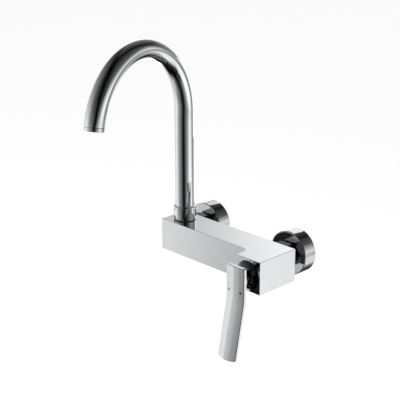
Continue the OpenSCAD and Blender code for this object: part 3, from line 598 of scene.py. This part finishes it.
# %% Neck
# The rim of the bonnet is the point of it that is farthest from the pivot: the ball clears it by a gap.
BONNET_RIM_H, BONNET_R, BALL_GAP = 16.5, 18.25, 0.7
BALL_R = math.hypot(BONNET_RIM_H, BONNET_R) + BALL_GAP
NECK_R, RIM_R, CONE_H, NECK_H = 14.25, 10.04, 33.3, 36.5
ball = [(BALL_R * math.sin(a), BALL_R * math.cos(a)) for a in np.linspace(0, math.asin(RIM_R / BALL_R), 14)]
rim_h = ball[-1][1]
neck_profile = ball + [(RIM_R + 0.25, rim_h + 0.05), (RIM_R + 0.45, rim_h + 0.3), (NECK_R - 0.3, CONE_H - 0.9),
                       (NECK_R - 0.05, CONE_H - 0.4), (NECK_R, CONE_H), (NECK_R, NECK_H), (0, NECK_H)]
neck_piece = link("neck", lathe_mesh("neck", neck_profile, pivot, forward))
print("the neck's ball has a radius of", round(BALL_R, 2), "mm")

# %% Bores for the stem and for the grub screw
STEM_LEAN, STEM_W, STEM_L, STEM_MIDDLE = math.radians(12.5), 7.2, 12.4, 26.4
SCREW_BORE_R, SCREW_FROM, SCREW_TO, SCREW_Y = 2.52, 2.0, 16, -118.5
stem_way = Vector((0, -math.cos(STEM_LEAN), -math.sin(STEM_LEAN)))
stem_turn = stem_way.to_track_quat("Z", "X").to_matrix().to_4x4()
stem_frame = Matrix.Translation(pivot + stem_way * STEM_MIDDLE * MM) @ stem_turn
stem_bore = link("stem_bore", bpy.data.meshes.new("stem_bore"))
cutter = bmesh.new()
bmesh.ops.create_cube(cutter, size=1.0)
cutter.transform(stem_frame @ Matrix.Diagonal((STEM_W * MM, STEM_W * MM, STEM_L * MM, 1)))
cutter.to_mesh(stem_bore.data)
cutter.free()
screw_at = Vector((CART_X, SCREW_Y, -(PIVOT_Y - SCREW_Y) * math.tan(STEM_LEAN))) * MM
screw_profile = [(0, SCREW_FROM), (SCREW_BORE_R, SCREW_FROM), (SCREW_BORE_R, SCREW_TO), (0, SCREW_TO)]
screw_bore = link("screw_bore", lathe_mesh("screw_bore", screw_profile, screw_at, Vector((-1, 0, 0)), 48))
for tool in (stem_bore, screw_bore):
    cut = neck_piece.modifiers.new(tool.name, "BOOLEAN")
    cut.object = tool
    cut.solver = "EXACT"
print("bores:", stem_bore.name, screw_bore.name)

# %% Join neck and blade
evaluated = bpy.context.evaluated_depsgraph_get()
joined = bmesh.new()
for part in (neck_piece, blade_piece):
    joined.from_mesh(bpy.data.meshes.new_from_object(part.evaluated_get(evaluated)))
lever_mesh = bpy.data.meshes.new("lever_casting")
joined.to_mesh(lever_mesh)
joined.free()
for part in (neck_piece, blade_piece, stem_bore, screw_bore):
    bpy.data.objects.remove(part)
lever_mesh.shade_smooth()
lever_mesh.set_sharp_from_angle(angle=SHARP_FROM)
lever_mesh.materials.clear()
lever_mesh.materials.append(chrome_cast)
lever_piece = link("lever_casting", lever_mesh)
lever_piece.modifiers.new("even_shading", "WEIGHTED_NORMAL").keep_sharp = True
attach(lever_piece, "lever")
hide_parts("lever")
print("lever faces:", len(lever_mesh.polygons))

# %% [markdown]
# The two index dots are drops of enamel in shallow round seats. Surface tension domes them, so
# each is a low lens. A flattened ball would meet the metal in a thin wedge, so the lens is turned
# with a short upright edge. It leans with the crown of the face that it sits in.

# %% Index dots
DOT_X, DOT_Z, DOT_R, DOT_LOW, DOT_DOME, DOT_DEEP = 9.5, -14.0, 1.7, 0.03, 0.22, 0.5
DOT_SHARP_FROM = math.radians(50)
lens = [(0, -DOT_DEEP), (DOT_R, -DOT_DEEP), (DOT_R, DOT_LOW)]
lens += [(DOT_R * math.cos(a), DOT_LOW + DOT_DOME * math.sin(a)) for a in np.linspace(0.15, math.pi / 2 - 0.05, 10)]
lens += [(0, DOT_LOW + DOT_DOME)]
slope = 2 * CROWN * DOT_X / (BLADE_W / 2) ** 2
sink = CROWN * (DOT_X / (BLADE_W / 2)) ** 2
for side_name, sign, enamel, slot in (("left", -1, dot_light, "index_light"), ("right", 1, dot_dark, "index_dark")):
    looks = Vector((sign * slope, -1, 0)).normalized()
    seat = Vector((CART_X + sign * DOT_X, FACE_Y + sink, DOT_Z)) * MM
    dot_mesh = lathe_mesh("index_dot_" + side_name, lens, seat, looks, 48)
    dot_mesh.shade_smooth()
    dot_mesh.set_sharp_from_angle(angle=DOT_SHARP_FROM)
    dot_mesh.materials.append(enamel)
    dot = link("index_dot_" + side_name, dot_mesh)
    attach(dot, "lever")
    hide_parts("index_" + side_name)
print("dots seated on the crowned face")

# %% [markdown]
# ## Floor, room and light
# Chrome shows nothing but what stands round it, so the surroundings are the real lighting job.
# To the camera the room is plain white. To mirror rays it is a studio: white sheets to the left,
# to the right and behind, a dark ceiling, a dark table edge far below, and a black cloth behind
# the camera that leans a little to the right. Their reflections draw the long dark bands along a
# tube. Soft round spots in the sheets, most of them dark, draw the finer lines near its edges.
# Dull pieces are lit by an even, softer white, so that colours render about as they are written.
#
# A wide picture of a real studio is the usual way, but it would be a file. The world shader can
# paint one from the ray's direction. One ramp turns its bearing into light, with 0 degrees
# towards -Y and 90 towards +X. Two more turn its height into light, from straight down to straight
# up: one for the left side and the front, and one for the rear. Their mix times the first ramp is
# what a mirror sees.
#
# These greys weren't all chosen by eye. A fitting program gave the first values, and 35 of the 59
# still stand. The rest were set or changed one by one over renders.

# %% Greys of the room
ROUND_THE_HORIZON = [(-180, 0.22), (-170, 0.437), (-158, 0.719), (-144, 1), (-128, 0.963), (-112, 0.37),
                     (-96, 0.4), (-82, 0.48), (-70, 0.5), (-54, 0.52), (-49, 0.5), (-43, 0.345), (-38, 0.33),
                     (-22, 0.207), (-8, 0.133), (8, 0.089), (20, 0.022), (30, 0.004), (40, 0.004), (52, 0.03),
                     (66, 0.104), (80, 0.2), (92, 0.33), (106, 0.62), (120, 0.66), (132, 0.58), (144, 0.51),
                     (156, 0.48), (168, 0.15)]
LEFT_DOWN_TO_UP = [(-90, 0.0), (-78, 0.006), (-66, 0.281), (-50, 0.633), (-38, 0.644), (-20, 0.95), (-8, 1.0),
                   (4, 0.88), (15, 0.563), (28, 0.333), (38, 0.219), (50, 0.141), (66, 0.059), (78, 0.01),
                   (90, 0.0)]
REAR_DOWN_TO_UP = [(-90, 0.0), (-76, 0.01), (-64, 0.126), (-54, 0.37), (-44, 0.674), (-34, 1), (-22, 1),
                   (-10, 0.704), (0, 0.881), (8, 0.607), (16, 0.37), (26, 0.11), (42, 0.065), (60, 0.03),
                   (90, 0.0)]
print("stops of the ramps:", len(ROUND_THE_HORIZON), len(LEFT_DOWN_TO_UP), len(REAR_DOWN_TO_UP))

# %% Bearing and height of a ray
world = bpy.data.worlds.new("studio_room")
bpy.context.scene.world = world
world.use_nodes = True
tree = world.node_tree
tree.nodes.clear()
ray_way = node(tree, "ShaderNodeTexCoord").outputs["Generated"]
way = node(tree, "ShaderNodeSeparateXYZ", {0: ray_way})
height = node(tree, "ShaderNodeMath", {0: way.outputs["Z"]}, operation="ARCSINE")
height = node(tree, "ShaderNodeMath", {0: height.outputs[0]}, operation="DEGREES")
front = node(tree, "ShaderNodeMath", {0: way.outputs["Y"], 1: -1.0}, operation="MULTIPLY")
bearing = node(tree, "ShaderNodeMath", {0: way.outputs["X"], 1: front.outputs[0]}, operation="ARCTAN2")
bearing = node(tree, "ShaderNodeMath", {0: bearing.outputs[0]}, operation="DEGREES")
print("bearing and height are in", bearing.operation.lower())

# %% Left and front against rear
FRONT_MIDDLE, FRONT_FULL, FRONT_GONE = -11.5, 61.5, 96.5
aside = node(tree, "ShaderNodeMath", {0: bearing.outputs[0], 1: -FRONT_MIDDLE}, operation="ADD")
aside = node(tree, "ShaderNodeMath", {0: aside.outputs[0], 1: -180.0, 2: 180.0}, operation="WRAP")
aside = node(tree, "ShaderNodeMath", {0: aside.outputs[0]}, operation="ABSOLUTE")
ahead = node(tree, "ShaderNodeMapRange", {"Value": aside.outputs[0], "From Min": FRONT_FULL,
             "From Max": FRONT_GONE, "To Min": 1.0, "To Max": 0.0}, interpolation_type="SMOOTHSTEP")
print("the front reaches", FRONT_FULL, "to", FRONT_GONE, "degrees from", FRONT_MIDDLE)

# %% Lean of the cloth
CLOTH_LEAN, LEAN_FROM, LEAN_TO = 17.0, -12.0, 8.0
lean = node(tree, "ShaderNodeMapRange", {"Value": height.outputs[0], "From Min": LEAN_FROM, "From Max": LEAN_TO,
            "To Max": CLOTH_LEAN}, interpolation_type="SMOOTHSTEP")
lean = node(tree, "ShaderNodeMath", {0: lean.outputs["Result"], 1: ahead.outputs["Result"]}, operation="MULTIPLY")
leaned = node(tree, "ShaderNodeMath", {0: bearing.outputs[0], 1: lean.outputs[0]}, operation="SUBTRACT")
leaned = node(tree, "ShaderNodeMath", {0: leaned.outputs[0], 1: -180.0, 2: 180.0}, operation="WRAP")
print("the cloth leans by", CLOTH_LEAN, "degrees")

# %% Three ramps of grey and their product
greys = []
for degrees, reach, stops in ((leaned.outputs[0], 180, ROUND_THE_HORIZON), (height.outputs[0], 90, LEFT_DOWN_TO_UP),
                              (height.outputs[0], 90, REAR_DOWN_TO_UP)):
    share = node(tree, "ShaderNodeMapRange", {"Value": degrees, "From Min": -reach, "From Max": reach})
    ramp = node(tree, "ShaderNodeValToRGB", {0: share.outputs["Result"]})
    ramp.color_ramp.interpolation = "EASE"
    while len(ramp.color_ramp.elements) < len(stops):
        ramp.color_ramp.elements.new(0.5)
    for element, (where, grey) in zip(ramp.color_ramp.elements, stops):
        element.position = (where + reach) / (2 * reach)
        element.color = (grey, grey, grey, 1)
    greys.append(ramp.outputs["Color"])
round_grey, left_grey, rear_grey = greys
up_grey = node(tree, "ShaderNodeMix", {"Factor": ahead.outputs["Result"], "A": rear_grey, "B": left_grey},
               data_type="RGBA")
seen = node(tree, "ShaderNodeVectorMath", {0: round_grey, 1: up_grey.outputs["Result"]}, operation="MULTIPLY")
print("ramps:", len(greys))

# %% Soft round spots in the sheets
# Each has a bearing, a height, the radius of its even middle and the radius where it ends, all in
# degrees, and how bright it is against the sheet round it.
SPOTS = [(-162, -42, 9, 17, 0.06), (-175, -32, 6, 12, 0.05), (-110, -66, 10, 26, 0.03),
         (160, -54, 7, 19, 1.9), (149, -12, 3, 14, 0.3)]
for compass, rise, inner, outer, factor in SPOTS:
    flat = math.cos(math.radians(rise))
    middle_way = (flat * math.sin(math.radians(compass)), -flat * math.cos(math.radians(compass)),
                  math.sin(math.radians(rise)))
    near = node(tree, "ShaderNodeVectorMath", {0: ray_way, 1: middle_way}, operation="DOT_PRODUCT")
    spot_light = node(tree, "ShaderNodeMapRange", {"Value": near.outputs["Value"],
                      "From Min": math.cos(math.radians(outer)), "From Max": math.cos(math.radians(inner)),
                      "To Min": 1.0, "To Max": factor}, interpolation_type="SMOOTHSTEP")
    seen = node(tree, "ShaderNodeVectorMath", {0: seen.outputs["Vector"], "Scale": spot_light.outputs["Result"]},
                operation="SCALE")
print("spots:", len(SPOTS))

# %% What each kind of ray sees
MIRROR_LIGHT, DULL_LIGHT, CAMERA_LIGHT = 2.0, 0.6, 1.0
path = node(tree, "ShaderNodeLightPath")
mirrored = node(tree, "ShaderNodeBackground", {"Color": seen.outputs["Vector"], "Strength": MIRROR_LIGHT})
plain = node(tree, "ShaderNodeMath", {0: path.outputs["Is Camera Ray"], 1: path.outputs["Is Transmission Ray"]},
             operation="MAXIMUM")
level = node(tree, "ShaderNodeMapRange", {"Value": plain.outputs[0], "To Min": DULL_LIGHT, "To Max": CAMERA_LIGHT})
white = node(tree, "ShaderNodeBackground", {"Color": (1, 1, 1, 1), "Strength": level.outputs["Result"]})
room = node(tree, "ShaderNodeMixShader", {0: path.outputs["Is Glossy Ray"], 1: white.outputs[0],
            2: mirrored.outputs[0]})
node(tree, "ShaderNodeOutputWorld", {"Surface": room.outputs[0]})
print("nodes of the room:", len(tree.nodes))

# %% [markdown]
# The floor is a pale sheet well below the object, which hangs on its wall, and it takes a little
# shadow. More lamp light would make it white, but would spoil the object's own tones, so it glows
# to the camera only. Mirror rays pass it and see the room, whose lower half stands for it.

# %% Floor
FLOOR_Z, FLOOR_HALF, FLOOR_GREY, FLOOR_GLOW = -0.30, 12.0, 0.42, 0.7
corners = [(x * FLOOR_HALF, y * FLOOR_HALF, FLOOR_Z) for x, y in ((-1, -1), (1, -1), (1, 1), (-1, 1))]
floor_mesh = bpy.data.meshes.new("floor")
floor_mesh.from_pydata(corners, [], [(0, 1, 2, 3)])
floor = link("floor", floor_mesh)
floor.visible_glossy = False
material, tree, _ = new_material("white_floor")
path = node(tree, "ShaderNodeLightPath")
glow = node(tree, "ShaderNodeMath", {0: path.outputs["Is Camera Ray"], 1: FLOOR_GLOW}, operation="MULTIPLY")
paint = node(tree, "ShaderNodeBsdfDiffuse", {"Color": (FLOOR_GREY, FLOOR_GREY, FLOOR_GREY, 1)})
light = node(tree, "ShaderNodeEmission", {"Color": (1, 1, 1, 1), "Strength": glow.outputs[0]})
both = node(tree, "ShaderNodeAddShader", {0: paint.outputs[0], 1: light.outputs[0]})
node(tree, "ShaderNodeOutputMaterial", {"Surface": both.outputs[0]})
floor_mesh.materials.append(material)
print("floor at", FLOOR_Z, "m")

# %% [markdown]
# Two cards stand behind the object. The world knows only directions, so it gives the bar's flat
# top and the bend of the spout the same light wherever they look the same way. A card has a
# place. The top of the bar looks up and back at the white one and shines, while the bend looks
# over it and keeps its dark sheen. The black card below darkens what is seen in the narrow gaps,
# behind the lever and between the bar and the flanges, where mirror rays leave low and to the
# back. Only mirror rays see the cards.

# %% Cards behind the bar
CARD_LEFT_Y, CARD_RIGHT_Y, SHADE_FROM_X, SHADE_TO_X = 0.17, 0.23, -0.37, -0.08


def card(name, left, right, low, high, dull, bright):
    """A flat card behind the object whose light grows from its left end to its right end."""
    mesh = bpy.data.meshes.new(name)
    mesh.from_pydata([(left, CARD_LEFT_Y, low), (right, CARD_RIGHT_Y, low), (right, CARD_RIGHT_Y, high),
                      (left, CARD_LEFT_Y, high)], [], [(0, 1, 2, 3)])
    piece = link(name, mesh)
    piece.visible_camera = piece.visible_diffuse = piece.visible_shadow = False
    piece.visible_transmission = piece.visible_volume_scatter = False
    material, tree, place = new_material(name + "_paper")
    across = node(tree, "ShaderNodeSeparateXYZ", {0: place})
    shade = node(tree, "ShaderNodeMapRange", {"Value": across.outputs["X"], "From Min": SHADE_FROM_X,
                 "From Max": SHADE_TO_X, "To Min": dull, "To Max": bright}, interpolation_type="SMOOTHSTEP")
    light = node(tree, "ShaderNodeEmission", {"Strength": shade.outputs["Result"]})
    node(tree, "ShaderNodeOutputMaterial", {"Surface": light.outputs[0]})
    mesh.materials.append(material)
    return piece


white_card = card("card_white", -0.46, 0.0, 0.055, 0.24, 0.7, 1.22)
black_card = card("card_black", -0.46, -0.04, -0.80, -0.075, 0.01, 0.03)
print("cards:", white_card.name, black_card.name)

# %% [markdown]
# Two large lamps, one high on the left and one lower on the right, give the dull pieces and the
# floor their shading. A sun or a point would draw hard shadows, and a large lamp draws soft ones.

# %% Lamps
LAMPS_AIM = Vector((0.0, -0.12, 0.08))


def soft_lamp(name, place, size, watts):
    data = bpy.data.lights.new(name, "AREA")
    data.shape = "RECTANGLE"
    data.size, data.size_y = size
    data.energy = watts
    lamp = bpy.data.objects.new(name, data)
    lamp.location = place
    lamp.visible_glossy = False
    lamp.rotation_mode = "QUATERNION"
    lamp.rotation_quaternion = (LAMPS_AIM - Vector(place)).to_track_quat("-Z", "Y")
    bpy.context.scene.collection.objects.link(lamp)
    return lamp


lamps = [soft_lamp("lamp_high_left", (-0.9, -1.0, 1.3), (1.0, 1.0), 9),
         soft_lamp("lamp_low_right", (1.3, -0.6, 0.6), (0.7, 1.0), 4)]
print("lamps:", [lamp.name for lamp in lamps])

# %% [markdown]
# The camera stands well back, to the right and above, with a long lens. A short lens close by would
# show as much, but would draw the near block too large and let the upright lines run together.

# %% Camera
SENSOR_MM, FOCAL_MM, FAR_END = 36, 90, 50
LOOKS_DOWN, ROLL, FROM_THE_RIGHT = 19.03, 0.14, 45.93
camera_data = bpy.data.cameras.new("camera")
camera_data.sensor_width = SENSOR_MM
camera_data.lens = FOCAL_MM
camera_data.clip_end = FAR_END
camera = bpy.data.objects.new("camera", camera_data)
camera.location = (0.8405, -0.9135, 0.4751)
camera.rotation_euler = (math.radians(90 - LOOKS_DOWN), math.radians(ROLL), math.radians(FROM_THE_RIGHT))
bpy.context.scene.collection.objects.link(camera)
bpy.context.scene.camera = camera
bpy.context.scene.view_settings.view_transform = "Standard"
print("the lens looks down by", LOOKS_DOWN, "degrees")
